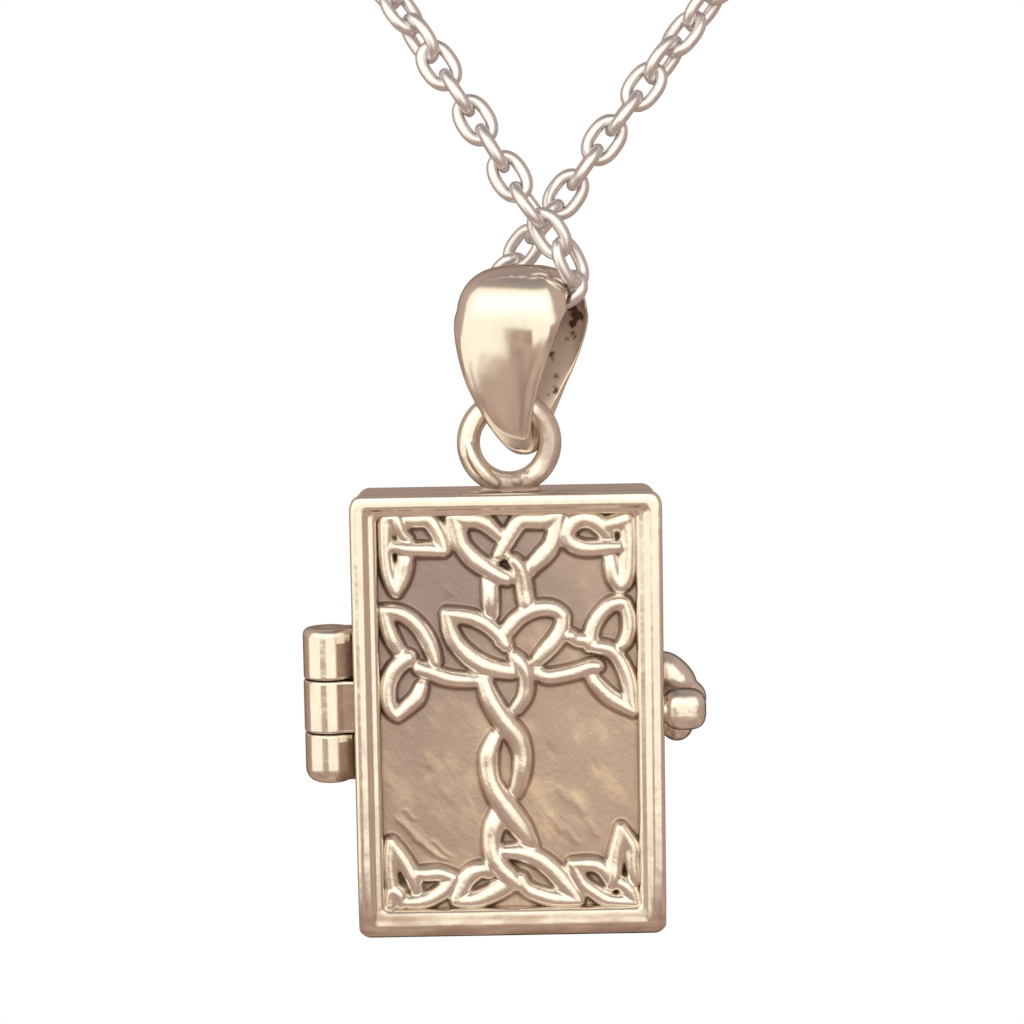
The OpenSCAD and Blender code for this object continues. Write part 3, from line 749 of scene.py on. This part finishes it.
def link_stations():
    """Each link's centre, its direction and the way that its face looks, along the route."""
    path = chain_route()
    steps = np.linalg.norm(np.diff(path, axis=0), axis=1)
    along = np.concatenate([[0], np.cumsum(steps)])
    whole = along[-1]
    pitch = in_mm(bpy.context.scene.chain_sizes.pitch)

    def nearest(anchor, allowed):
        gaps = np.where(allowed, np.linalg.norm(path - np.array(anchor), axis=1), np.inf)
        return along[int(np.argmin(gaps))]

    def at(s):
        return np.array([np.interp(s, along, path[:, k]) for k in range(3)])

    def heading(s):
        way = at(min(s + HEADING_REACH, whole)) - at(max(s - HEADING_REACH, 0))
        return way / np.linalg.norm(way)

    def across(side, s):
        way = heading(s)
        side = side - way * side.dot(way)
        return side / np.linalg.norm(side)

    def outward(s):
        return across(at(s) - np.array([0, NECK_AXIS_Y - PENDANT_AT.y / MM, at(s)[2]]), s)

    middle = along[(len(RIGHT_NECK + RIGHT_STRAND) + len(THROUGH_BAIL) // 2) * ROUTE_STEPS]
    right = nearest(RIGHT_ANCHOR, along < middle)
    left = nearest(LEFT_ANCHOR, along >= middle)
    count_right = round((right - CLASP_GAP) / pitch)
    count_bail = 2 * round((left - right) / pitch / 2)
    count_left = round((whole - CLASP_GAP - left) / pitch)
    stations = [
        *np.linspace(CLASP_GAP, right, count_right + 1)[:-1],
        *np.linspace(right, left, count_bail + 1),
        *np.linspace(left, whole - CLASP_GAP, count_left + 1)[1:]]

    walk = np.linspace(right, left, 400)
    sides = [outward(right)]
    for s in walk[1:]:
        sides.append(across(sides[-1], s))
    goal = outward(left)
    off = math.atan2(np.cross(sides[-1], goal).dot(heading(left)), sides[-1].dot(goal))

    found = []
    for i, s in enumerate(stations):
        way = heading(s)
        if right < s < left:
            k = int(np.argmin(abs(walk - s)))
            face = rolled(sides[k], heading(walk[k]), off * (walk[k] - right) / (left - right))
        else:
            face = outward(s)
        twist = np.interp(right - s, RIGHT_TWIST, (0, 1)) + np.interp(s - left, LEFT_TWIST, (0, 1))
        face = rolled(face, way, FULL_TWIST * twist)
        if (i - count_right) % 2:
            face = np.cross(way, face)
        found.append((Vector(at(s)), Vector(way), Vector(face)))
    return found


def link_mesh(name, segments, sides):
    """One oval link, its length along X and its face looking along Z."""
    sizes = bpy.context.scene.chain_sizes
    wire = in_mm(sizes.link_wire) / 2
    half_w = in_mm(sizes.link_width) / 2 - wire
    half_l = in_mm(sizes.link_length) / 2 - wire
    link = added(
        name, bpy.ops.mesh.primitive_torus_add, major_radius=half_w, minor_radius=wire,
        major_segments=segments, minor_segments=sides)
    mesh = shaping(link)
    for vert in mesh.verts:
        angle = math.atan2(vert.co.y, vert.co.x)
        cos, sin = math.cos(angle), math.sin(angle)
        vert.co.x += math.copysign(half_l * abs(cos) ** 0.85, cos) - half_w * cos
        vert.co.y += math.copysign(half_w * abs(sin) ** 0.85, sin) - half_w * sin
    bmesh.update_edit_mesh(link.data)
    bpy.ops.object.mode_set(mode="OBJECT")
    return link


class PENDANT_OT_chain(bpy.types.Operator):
    """Lay the cable chain's links along their route"""

    bl_idname = "pendant.chain"
    bl_label = "Chain"

    def execute(self, context):
        fine = link_mesh("link_fine", 36, 12)
        plain = link_mesh("link_plain", 12, 4)
        groups = {"chain_links_front": [], "chain_links_neck": []}
        for spot, way, face in link_stations():
            near = spot.length < FINE_REACH
            source = fine if near else plain
            copy = source.copy()
            copy.data = source.data.copy()
            context.collection.objects.link(copy)
            turn = Matrix((way, face.cross(way), face)).transposed().to_4x4()
            copy.data.transform(Matrix.Translation(spot) @ turn)
            groups["chain_links_front" if near else "chain_links_neck"].append(copy)
        for name, links in groups.items():
            pick(*links)
            bpy.ops.object.join()
            whole = context.object
            whole.name = name
            settle(whole, "neck_chain", "chain_silver", drawn_silver, "chain")
        for spare in (fine, plain):
            bpy.data.objects.remove(spare)
        return {"FINISHED"}


def teardrop(r_top, z_top, r_low, z_low):
    """Side outline of the bail as (y, z) points, from the tip up its back and down its front."""
    arc, line = 26, 12
    lean = math.asin((r_top - r_low) / (z_top - z_low))
    low_turns = [-math.pi / 2 + (math.pi / 2 - lean) * k / arc for k in range(arc)]
    top_turns = [-lean + (math.pi / 2 + lean) * k / arc for k in range(arc + 1)]
    a = Vector((r_low * math.cos(lean), z_low - r_low * math.sin(lean)))
    b = Vector((r_top * math.cos(lean), z_top - r_top * math.sin(lean)))
    points = [(r_low * math.cos(turn), z_low + r_low * math.sin(turn)) for turn in low_turns]
    points += [tuple(a.lerp(b, k / line)) for k in range(line)]
    points += [(r_top * math.cos(turn), z_top + r_top * math.sin(turn)) for turn in top_turns]
    return points + [(-y, z) for y, z in reversed(points[1:-1])]


def eased(outline, rounds):
    """A closed outline with its changes of curve spread out, drawn back to its first height."""
    points = np.array(outline)
    low, high = points[:, 1].min(), points[:, 1].max()
    for _ in range(rounds):
        points = (np.roll(points, 1, 0) + 2 * points + np.roll(points, -1, 0)) / 4
    points[:, 1] = np.interp(points[:, 1], (points[:, 1].min(), points[:, 1].max()), (low, high))
    return points.tolist()


class PENDANT_OT_bail(bpy.types.Operator):
    """Model the puffed, drop-shaped bail"""

    bl_idname = "pendant.bail"
    bl_label = "Bail"

    def execute(self, context):
        sizes = context.scene.pendant_sizes
        widest = in_mm(sizes.bail_half_width)
        outer = eased(teardrop(2.1, BAIL_AT.z, 0.95, 11.9), 90)
        inner = eased(teardrop(1.6, BAIL_AT.z, 0.72, 13.5), 60)
        cos, sin = math.cos(BAIL_YAW), math.sin(BAIL_YAW)
        rim = around(44)
        sections = []
        for (y_out, z_out), (y_in, z_in) in zip(outer, inner):
            top = np.interp(z_out, (16.0, 19.1), (0, 1))
            fall = np.interp(z_out, (11.0, 16.8), (1, 0))
            half = widest * (1 - fall ** 1.5) + 0.62 * fall ** 1.25 - 0.12 * top ** 2
            sideways = np.interp(
                z_out, (11.0, 12.2, 13.4, 15.5, 16.4, 17.3), (0.0, -0.25, -0.3, -0.1, -0.03, 0.0))
            wall = math.hypot(y_out - y_in, z_out - z_in)
            away = Vector((0, y_out - y_in, z_out - z_in)).normalized()
            puff = in_mm(sizes.bail_puff) * (half / widest) * (1 + 0.35 * top)
            section = []
            for c, s in rim:
                u = math.copysign(abs(c) ** 0.7, c)
                lift = math.copysign(abs(s) ** 0.5, s)
                drop = puff * (0.35 * u * u + 0.65 * u ** 6)
                outside = wall / 2 - drop
                inside = -wall / 2 - max(drop - (wall - 0.34), 0)
                offset = (outside + inside) / 2 + max((outside - inside) / 2, 0.17) * lift
                spot = Vector((0, (y_out + y_in) / 2, (z_out + z_in) / 2)) + away * offset
                x = half * u + sideways
                section.append(Vector((
                    BAIL_AT.x + x * cos + spot.y * (sin + 0.22), BAIL_AT.y - x * sin + spot.y * cos,
                    spot.z)))
            sections.append(section)
        sections.append(sections[0])
        piece = loft("bail_puffed", sections, looped=True)
        inward = [spot for section in sections for spot, (_, s) in zip(section, rim) if s < -0.25]
        tree = KDTree(len(inward))
        for index, spot in enumerate(inward):
            tree.insert(spot, index)
        tree.balance()
        layer = piece.data.attributes.new("inside", "FLOAT", "POINT")
        layer.data.foreach_set("value", [
            1.0 if tree.find(vert.co)[2] < 0.004 else 0.0 for vert in piece.data.vertices])
        modified(piece, "SUBSURF", levels=1, render_levels=1)
        modified(piece, "SMOOTH", factor=0.5, iterations=16)
        settle(piece, "bail_loop", "polished_silver", bail_silver, "bail")
        return {"FINISHED"}


def knuckles(name, growth, web_y, spans):
    """Hinge knuckles run together with their webs, from (low, high, their rounds, web ends) rows."""
    radius = in_mm(bpy.context.scene.pendant_sizes.barrel_radius) + growth
    barrels = [
        turned("knuckle", (HINGE_X, PARTING_Y), barrel_profile(
            radius, HINGE_Z + low, HINGE_Z + high, low_round, high_round))
        for low, high, low_round, high_round, _, _ in spans]
    webs = [
        block("web", (HINGE_X, web_y, HINGE_Z + low), (WEB_END_X, web_y + WEB_DEPTH, HINGE_Z + high))
        for *_, low, high in spans]
    return fused(name, barrels + webs, 3)


class PENDANT_OT_case(bpy.types.Operator):
    """Model the deep half of the box with its ring, knuckles and catch"""

    bl_idname = "pendant.case"
    bl_label = "Case"

    def execute(self, context):
        sizes = context.scene.pendant_sizes
        wall = in_mm(sizes.wall)
        profile = (
            (wall + 0.1, BACK_Y - wall), (wall, BACK_Y - wall - 0.1), (wall, 1.0),
            (wall, CASE_FRONT_Y + 0.07), (wall - 0.06, CASE_FRONT_Y), (0.07, CASE_FRONT_Y),
            (0.0, CASE_FRONT_Y + 0.08), (0.0, 0.4), (0.0, 1.5), (0.0, 2.4), (0.03, 2.62),
            (0.11, 2.81), (0.24, 2.93), (0.4, 2.99), (0.62, 3.0))
        shell = loft("case_shell", [box_ring(inset, y) for inset, y in profile])
        settle(shell, "case", "polished_silver", worked_silver, "case_back", sharp=35)

        top = in_mm(sizes.box_height) / 2
        bead = [
            (-1.62, -0.18, 11.9), (-1.5, -0.3, 11.4), (-1.32, -0.4, 10.9), (-1.05, -0.47, 10.45),
            (-0.7, -0.5, 10.06), (-0.28, -0.5, 9.72)]
        wire = added(
            "wire", bpy.ops.mesh.primitive_torus_add, location=RING_AT, rotation=(math.pi / 2, 0, 0),
            major_radius=in_mm(sizes.ring_radius), minor_radius=in_mm(sizes.ring_wire),
            major_segments=96, minor_segments=32)
        bake_place(wire)
        ring = fused("top_ring", [
            wire,
            tube("wire_end", bead, (0.1, 0.2, 0.24, 0.24, 0.24, 0.16)),
            ball("solder", (RING_AT.x, RING_AT.y, top - 0.02), (1.42, 0.42, 0.24)),
            ball("solder", (RING_AT.x - 0.1, RING_AT.y, top + 0.1), (0.95, 0.42, 0.42)),
            ball("bump", (RING_AT.x + 0.3, -0.26, top + 0.42), (0.3, 0.26, 0.24)),
            ball("bump", (RING_AT.x + 0.66, -0.2, top + 0.6), (0.24, 0.24, 0.22)),
            ball("bump", (RING_AT.x + 0.95, -0.14, top + 0.72), (0.22, 0.22, 0.2))], 9)
        settle(ring, "case", "polished_silver", soldered_silver, "case_back")

        hinge = knuckles("case_knuckles", 0.06, CASE_FRONT_Y, (
            (1.175, 3.35, 0.07, 0.3, 1.18, 3.3), (-3.35, -1.175, 0.6, 0.07, -3.35, -1.18)))
        settle(hinge, "case", "polished_silver", soldered_silver, "case_back")

        catch = fused("catch_lobes", [
            ball("lobe", (7.08, 0.3, 1.2), (1.24, 0.86, 0.84), turn=0.78, square=0.9),
            ball("lobe", (7.6, 0.3, 0.34), (0.98, 0.72, 0.84), turn=0.6, square=0.85),
            ball("lobe", (7.25, 0.4, -0.78), (0.78, 0.82, 0.89), turn=-0.2),
            ball("lobe", (7.0, 0.3, 0.25), (0.7, 0.7, 0.8)),
            rod("neck", (6.3, 0.35, 1.1), (7.0, 0.35, 1.2), 0.78),
            rod("neck", (6.3, 0.4, -0.6), (7.1, 0.4, -0.7), 0.74)], 6)
        settle(catch, "case", "polished_silver", tumbled_silver, "case_back")
        return {"FINISHED"}


class PENDANT_OT_lid(bpy.types.Operator):
    """Model the lid's frame with its knuckle and thumb ball"""

    bl_idname = "pendant.lid"
    bl_label = "Lid frame"

    def execute(self, context):
        wall = in_mm(context.scene.pendant_sizes.wall)
        profile = (
            (0.07, LID_BACK_Y), (0.0, LID_BACK_Y - 0.07), (0.0, -1.3), (0.0, -2.3), (0.0, -2.62),
            (0.01, -2.75), (0.035, -2.85), (0.08, -2.92), (0.14, -2.955), (0.22, -2.975), (0.32, -2.985),
            (0.42, -2.985), (0.52, -2.975), (0.59, -2.945), (0.65, -2.9), (0.71, -2.85), (0.77, -2.81),
            (0.83, -2.79), (0.9, -2.78), (0.97, -2.765), (1.03, -2.735), (1.08, -2.67), (1.12, -2.56),
            (1.13, -2.4), (1.12, -2.24), (0.97, -2.22), (0.95, -2.1), (0.95, LEDGE_Y), (1.4, LEDGE_Y),
            (1.4, LEDGE_BACK_Y), (wall, LEDGE_BACK_Y), (wall, LID_BACK_Y - 0.06),
            (wall - 0.06, LID_BACK_Y))
        rings = []
        for inset, y in profile:
            ring = box_ring(inset, y, wave=0.022 if y < -2.5 else 0.0)
            inner = min(max((inset - 0.5) / 0.5, 0), 1) if y < -1.2 else 0.0
            for point in ring:
                point.z += inner * (0.205 + 0.009 * point.z)
                if y < -2.3:
                    point.z += 0.12 * min(max((point.z - 8.7) / 0.5, 0), 1)
                    point.y += 0.6 * max(-8.5 - point.z, 0) ** 1.5
            rings.append(ring)
        rings.append(rings[0])
        bars = loft("lid_bars", rings, looped=True)
        settle(bars, "lid", "polished_silver", worked_silver, "lid_frame", sharp=40)

        hinge = knuckles("lid_knuckle", 0.07, LID_BACK_Y - WEB_DEPTH, (
            (-1.125, 1.125, 0.07, 0.07, -1.12, 1.12),))
        settle(hinge, "lid", "polished_silver", soldered_silver, "lid_frame")

        snap = fused("thumb_ball", [
            ball("thumb", THUMB_AT, (0.92, 0.8, 0.88), square=0.68),
            rod("neck", (6.3, THUMB_AT.y, THUMB_AT.z), THUMB_AT, 0.6)], 4)
        settle(snap, "lid", "polished_silver", tumbled_silver, "lid_frame")
        return {"FINISHED"}


def knot_heights(xs, zs, height):
    """Height of the knotwork over its plate on a grid, with the strands as round wires."""
    tops = np.zeros((len(zs), len(xs)))
    step_x = xs[1] - xs[0]
    step_z = zs[1] - zs[0]
    for strand in KNOT_STRANDS:
        spots = np.array([(*spot, 0)[:4] for spot in strand]) / 100
        for x, z, r, lift in smooth_route(spots, 24):
            # The top and bottom rows are drawn out to the frame, and thin ends are filled out.
            high = min(max((z - 7.3) / 0.85, 0), 1)
            z += 0.36 * high ** 2 + 0.13 * min(max((-z - 7.2) / 0.6, 0), 1)
            r = 1.06 * (max(r, (r + 0.42) / 2) + 0.05 * high)
            columns = slice(max(int((x - r - xs[0]) / step_x), 0), int((x + r - xs[0]) / step_x) + 2)
            rows = slice(max(int((z - r - zs[0]) / step_z), 0), int((z + r - zs[0]) / step_z) + 2)
            gap = (xs[columns][None, :] - x) ** 2 + (zs[rows][:, None] - z) ** 2
            round_top = np.sqrt(np.clip(1 - gap / (r * r), 0, 1))
            part = tops[rows, columns]
            np.maximum(part, round_top * (min(height, 1.5 * r) + lift), out=part)
    return tops


def wrinkle_heights(xs, zs):
    """Height of the fine wrinkles left in the plate by its casting."""
    heights = np.zeros((len(zs), len(xs)))
    for x0, z0, x1, z1, rise, width in WRINKLES:
        dx = x1 - x0
        dz = z1 - z0
        from_x = xs[None, :] - x0
        from_z = zs[:, None] - z0
        along = np.clip((from_x * dx + from_z * dz) / (dx ** 2 + dz ** 2), 0, 1)
        gap = np.hypot(from_x - dx * along, from_z - dz * along - 0.045 * np.sin(7 * along))
        heights += rise * np.exp(-(gap / width) ** 2) * np.sqrt(np.clip(4 * along * (1 - along), 0.1, 1))
    return heights


def blurred(values, rounds):
    """Values averaged with their neighbours a number of times."""
    for _ in range(rounds):
        padded = np.pad(values, 1, mode="edge")
        values = (padded[:-2, 1:-1] + padded[2:, 1:-1] + padded[1:-1, :-2] + padded[1:-1, 2:]
                  + 4 * padded[1:-1, 1:-1]) / 8
    return values


class PENDANT_OT_panel(bpy.types.Operator):
    """Model the inset plate with its knotwork"""

    bl_idname = "pendant.panel"
    bl_label = "Knotwork panel"

    def execute(self, context):
        height = in_mm(context.scene.pendant_sizes.strand_height)
        columns, rows = 236, 352
        half_w, half_h, centre_z = 5.55, 8.55, 0.19
        piece = added(
            "knot_plate", bpy.ops.mesh.primitive_grid_add,
            x_subdivisions=columns - 1, y_subdivisions=rows - 1, size=2)
        flat = np.empty(len(piece.data.vertices) * 3)
        piece.data.vertices.foreach_get("co", flat)
        flat = flat.reshape(-1, 3)
        column = np.rint((flat[:, 0] + 1) / 2 * (columns - 1)).astype(int)
        row = np.rint((flat[:, 1] + 1) / 2 * (rows - 1)).astype(int)
        xs = np.linspace(-half_w, half_w, columns)
        zs = np.linspace(centre_z - half_h, centre_z + half_h, rows)
        tops = blurred(knot_heights(xs, zs, height), 3)
        swell = 0.012 * np.sin(xs[None, :] * 1.3 + 0.8 * zs[:, None]) * np.cos(zs[:, None] * 0.9 + 0.4)
        swell += wrinkle_heights(xs, zs)
        rim = np.minimum(half_w - np.abs(xs)[None, :], half_h - np.abs(zs - centre_z)[:, None])
        # Depth between the strands for the oxide in the hollows, and a band along the frame's edge that is
        # painted shade.
        recess = np.clip(blurred(tops, 26) - tops, 0, None) + 0.11 * np.clip(1 - rim / 0.22, 0, 1)
        # Nearness to the strands: painted shade round them, and oxide in the pockets that they close in.
        halo = np.clip(blurred(tops, 110) - 0.6 * tops, 0, None)
        placed = np.stack([xs[column], PANEL_Y - (tops + swell)[row, column], zs[row]], axis=1)
        piece.data.vertices.foreach_set("co", placed.ravel())
        for name, values in zip(RELIEF_LAYERS, (recess, tops, halo)):
            layer = piece.data.attributes.new(name, "FLOAT", "POINT")
            layer.data.foreach_set("value", values[row, column])
        shaping(piece)
        bpy.ops.mesh.region_to_loop()
        bpy.ops.mesh.extrude_edges_move()
        mesh = bmesh.from_edit_mesh(piece.data)
        layers = [mesh.verts.layers.float[name] for name in RELIEF_LAYERS]
        for vert in mesh.verts:
            if vert.select:
                vert.co.y = PANEL_BACK_Y
                for layer in layers:
                    vert[layer] = 0.0
        bpy.ops.mesh.edge_face_add()
        bpy.ops.mesh.select_all(action="SELECT")
        bpy.ops.mesh.normals_make_consistent(inside=False)
        bpy.ops.object.mode_set(mode="OBJECT")
        settle(piece, "lid", "oxidised_silver", oxidised_silver, "knot_panel", sharp=75)
        return {"FINISHED"}


class PENDANT_OT_fittings(bpy.types.Operator):
    """Finish the hinge pin and the chain's clasp"""

    bl_idname = "pendant.fittings"
    bl_label = "Pin and clasp"

    def execute(self, context):
        for name, finish in (("hinge_pin", worked_silver), ("chain_clasp", drawn_silver)):
            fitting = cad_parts[name]
            fitting.data.materials.clear()
            fitting.data.materials.append(finish())
        return {"FINISHED"}


def band(value, low, high, soft):
    """Ranges that keep a share to values between two angles in degrees, with soft ends."""
    marks = [math.radians(mark) for mark in (low - soft, low + soft, high - soft, high + soft)]
    return (value, *marks[:2]), (value, *marks[2:], 1.0, 0.0)


def studio_world():
    """A bright window in front that the silver mirrors, over a brown room, white to the camera."""
    scene = bpy.context.scene
    scene.world = bpy.data.worlds.new("studio")
    scene.world.use_nodes = True
    tree = scene.world.node_tree
    tree.nodes.clear()
    way = node(tree, "TexCoord", out="Generated")
    x, y, z = node(tree, "SeparateXYZ", (way,)).node.outputs
    rise = node(tree, "Math", (z,), operation="ARCSINE")
    side = node(tree, "Math", (x, total(tree, (y, -1.0))), operation="ARCTAN2")
    off_front = node(tree, "Math", (side,), operation="ABSOLUTE")
    open_part = share(tree, *band(rise, -30, 50, 6), *band(side, -86, 46, 6))
    core = share(tree, *band(rise, 4, 36, 12), *band(side, -66, 34, 16))
    behind = share(tree, *band(rise, -5, 30, 8), (off_front, math.radians(118), math.radians(140)))
    bright = scene.studio_settings.window
    pane = coated(
        tree, [bright * c for c in (0.96, 0.9, 0.75)], (core, [bright * c for c in (1.2, 1.18, 1.08)]))
    lit = coated(
        tree, "#B3A198",
        (share(tree, (rise, math.radians(-40), 0.0)), "#C2ADA2"),
        (share(tree, (rise, math.radians(40), math.radians(75))), "#9C9490"),
        (open_part, pane),
        (behind, (0.62, 0.52, 0.46)),
        (node(tree, "LightPath", out="Is Camera Ray"), (1.0, 1.0, 1.0)))
    node(tree, "OutputWorld", {"Surface": node(tree, "Background", {"Color": lit, "Strength": 1.0})})


def pale_paper():
    """Pale paper that glows: white to the camera, and to the silver a glowing brown table with brighter
    glowing white patches on it.
    """
    made = new_material("floor_pale_paper")
    tree = made.node_tree
    where, x, y, _ = place(tree)
    side = node(tree, "Math", (x, total(tree, (y, -1.0))), operation="ARCTAN2")
    away = node(tree, "Math", (total(tree, (x, x), (y, y)), 0.5), operation="POWER")
    level = node(tree, "Math", (CARD_DROP, away), operation="ARCTAN2")
    wander = speckle(tree, where, 60, 2.0)
    drop = total(tree, (wander, 0.3), (level, 1.0), (0.15, -1.0))
    cards = [
        share(tree, *band(side, -94, -37, 1.5), *band(drop, 0, 21, 3)),
        share(tree, *band(side, -11, 34, 1.5), *band(drop, 0, 19, 4)),
        share(tree, *band(side, -38, -10, 1.5), *band(level, -5, 9, 1.0))]
    lit = coated(
        tree, "#A48A7F", (share(tree, (wander, 0.35, 0.65)), "#C9B0A0"),
        (total(tree, *((card, 1.0) for card in cards)), (1.17, 1.1, 0.92)),
        (node(tree, "LightPath", out="Is Camera Ray"), (1.0, 1.0, 1.0)))
    # The floor glows: its colour is emitted light.
    node(tree, "OutputMaterial", {"Surface": node(tree, "Emission", {"Color": lit, "Strength": 1.0})})
    return made


def softbox(name, spot, size, power, colour):
    """A square area lamp that looks at the pendant."""
    lamp = bpy.data.lights.new(name, "AREA")
    lamp.shape = "SQUARE"
    lamp.size = size
    lamp.energy = power
    lamp.color = colour
    holder = bpy.data.objects.new(name, lamp)
    bpy.context.collection.objects.link(holder)
    holder.location = spot
    holder.rotation_euler = (PENDANT_AT - Vector(spot)).to_track_quat("-Z", "Y").to_euler()
    holder.visible_camera = False
    holder.visible_glossy = False


class PENDANT_OT_stage(bpy.types.Operator):
    """Set the camera, the pale floor and the soft light"""

    bl_idname = "pendant.stage"
    bl_label = "Stage"

    def execute(self, context):
        scene = context.scene
        scene.view_settings.view_transform = "Standard"
        camera = bpy.data.cameras.new("camera")
        camera.lens = 80.15
        camera.sensor_width = 36
        camera.clip_start = 0.005
        camera.clip_end = 20
        holder = bpy.data.objects.new("camera", camera)
        context.collection.objects.link(holder)
        turn = Matrix.Rotation(math.pi / 2 - CAMERA_RISE, 4, "X") @ Matrix.Rotation(-CAMERA_ROLL, 4, "Z")
        aim = Matrix.Translation(PENDANT_AT + CAMERA_AIM * MM)
        holder.matrix_world = aim @ turn @ Matrix.Translation((0, 0, CAMERA_AWAY))
        scene.camera = holder

        floor = added(
            "floor", bpy.ops.mesh.primitive_plane_add,
            size=scene.studio_settings.floor_size, location=(0, -0.06, FLOOR_Z))
        bake_place(floor)
        floor.data.materials.append(pale_paper())
        studio_world()
        softbox("lamp_left", (-0.32, -0.5, 0.22), 0.22, 2.2, (1.0, 0.985, 0.96))
        softbox("lamp_right", (0.36, -0.44, 0.12), 0.2, 1.4, (1.0, 0.985, 0.95))
        return {"FINISHED"}


class PENDANT_PT_sidebar(bpy.types.Panel):
    """Lists the pendant's pieces"""

    bl_idname = "PENDANT_PT_sidebar"
    bl_label = "Prayer box pendant"
    bl_space_type = "VIEW_3D"
    bl_region_type = "UI"
    bl_category = "Pendant"

    def draw(self, context):
        layout = self.layout
        scene = context.scene
        for group in (scene.pendant_sizes, scene.chain_sizes, scene.silver_colours, scene.studio_settings):
            box = layout.box()
            for key in group.__annotations__:
                box.prop(group, key)
        for kind in PIECES:
            layout.operator(kind.bl_idname)


GROUPS = {
    "pendant_sizes": PendantSizes,
    "chain_sizes": ChainSizes,
    "silver_colours": SilverColours,
    "studio_settings": StudioSettings,
}
PIECES = (
    PENDANT_OT_stage, PENDANT_OT_chain, PENDANT_OT_bail, PENDANT_OT_case, PENDANT_OT_lid,
    PENDANT_OT_panel, PENDANT_OT_fittings)


def register():
    for kind in (*GROUPS.values(), *PIECES, PENDANT_PT_sidebar):
        bpy.utils.register_class(kind)
    for name, kind in GROUPS.items():
        setattr(bpy.types.Scene, name, bpy.props.PointerProperty(type=kind))


def unregister():
    for name in GROUPS:
        delattr(bpy.types.Scene, name)
    for kind in (PENDANT_PT_sidebar, *reversed(PIECES), *GROUPS.values()):
        bpy.utils.unregister_class(kind)


def main():
    register()
    for kind in PIECES:
        name = kind.bl_idname.split(".")[1]
        if getattr(bpy.ops.pendant, name)() != {"FINISHED"}:
            raise RuntimeError(f"{kind.bl_label} wasn't finished")
    bpy.context.view_layer.update()


if __name__ == "__main__":
    main()
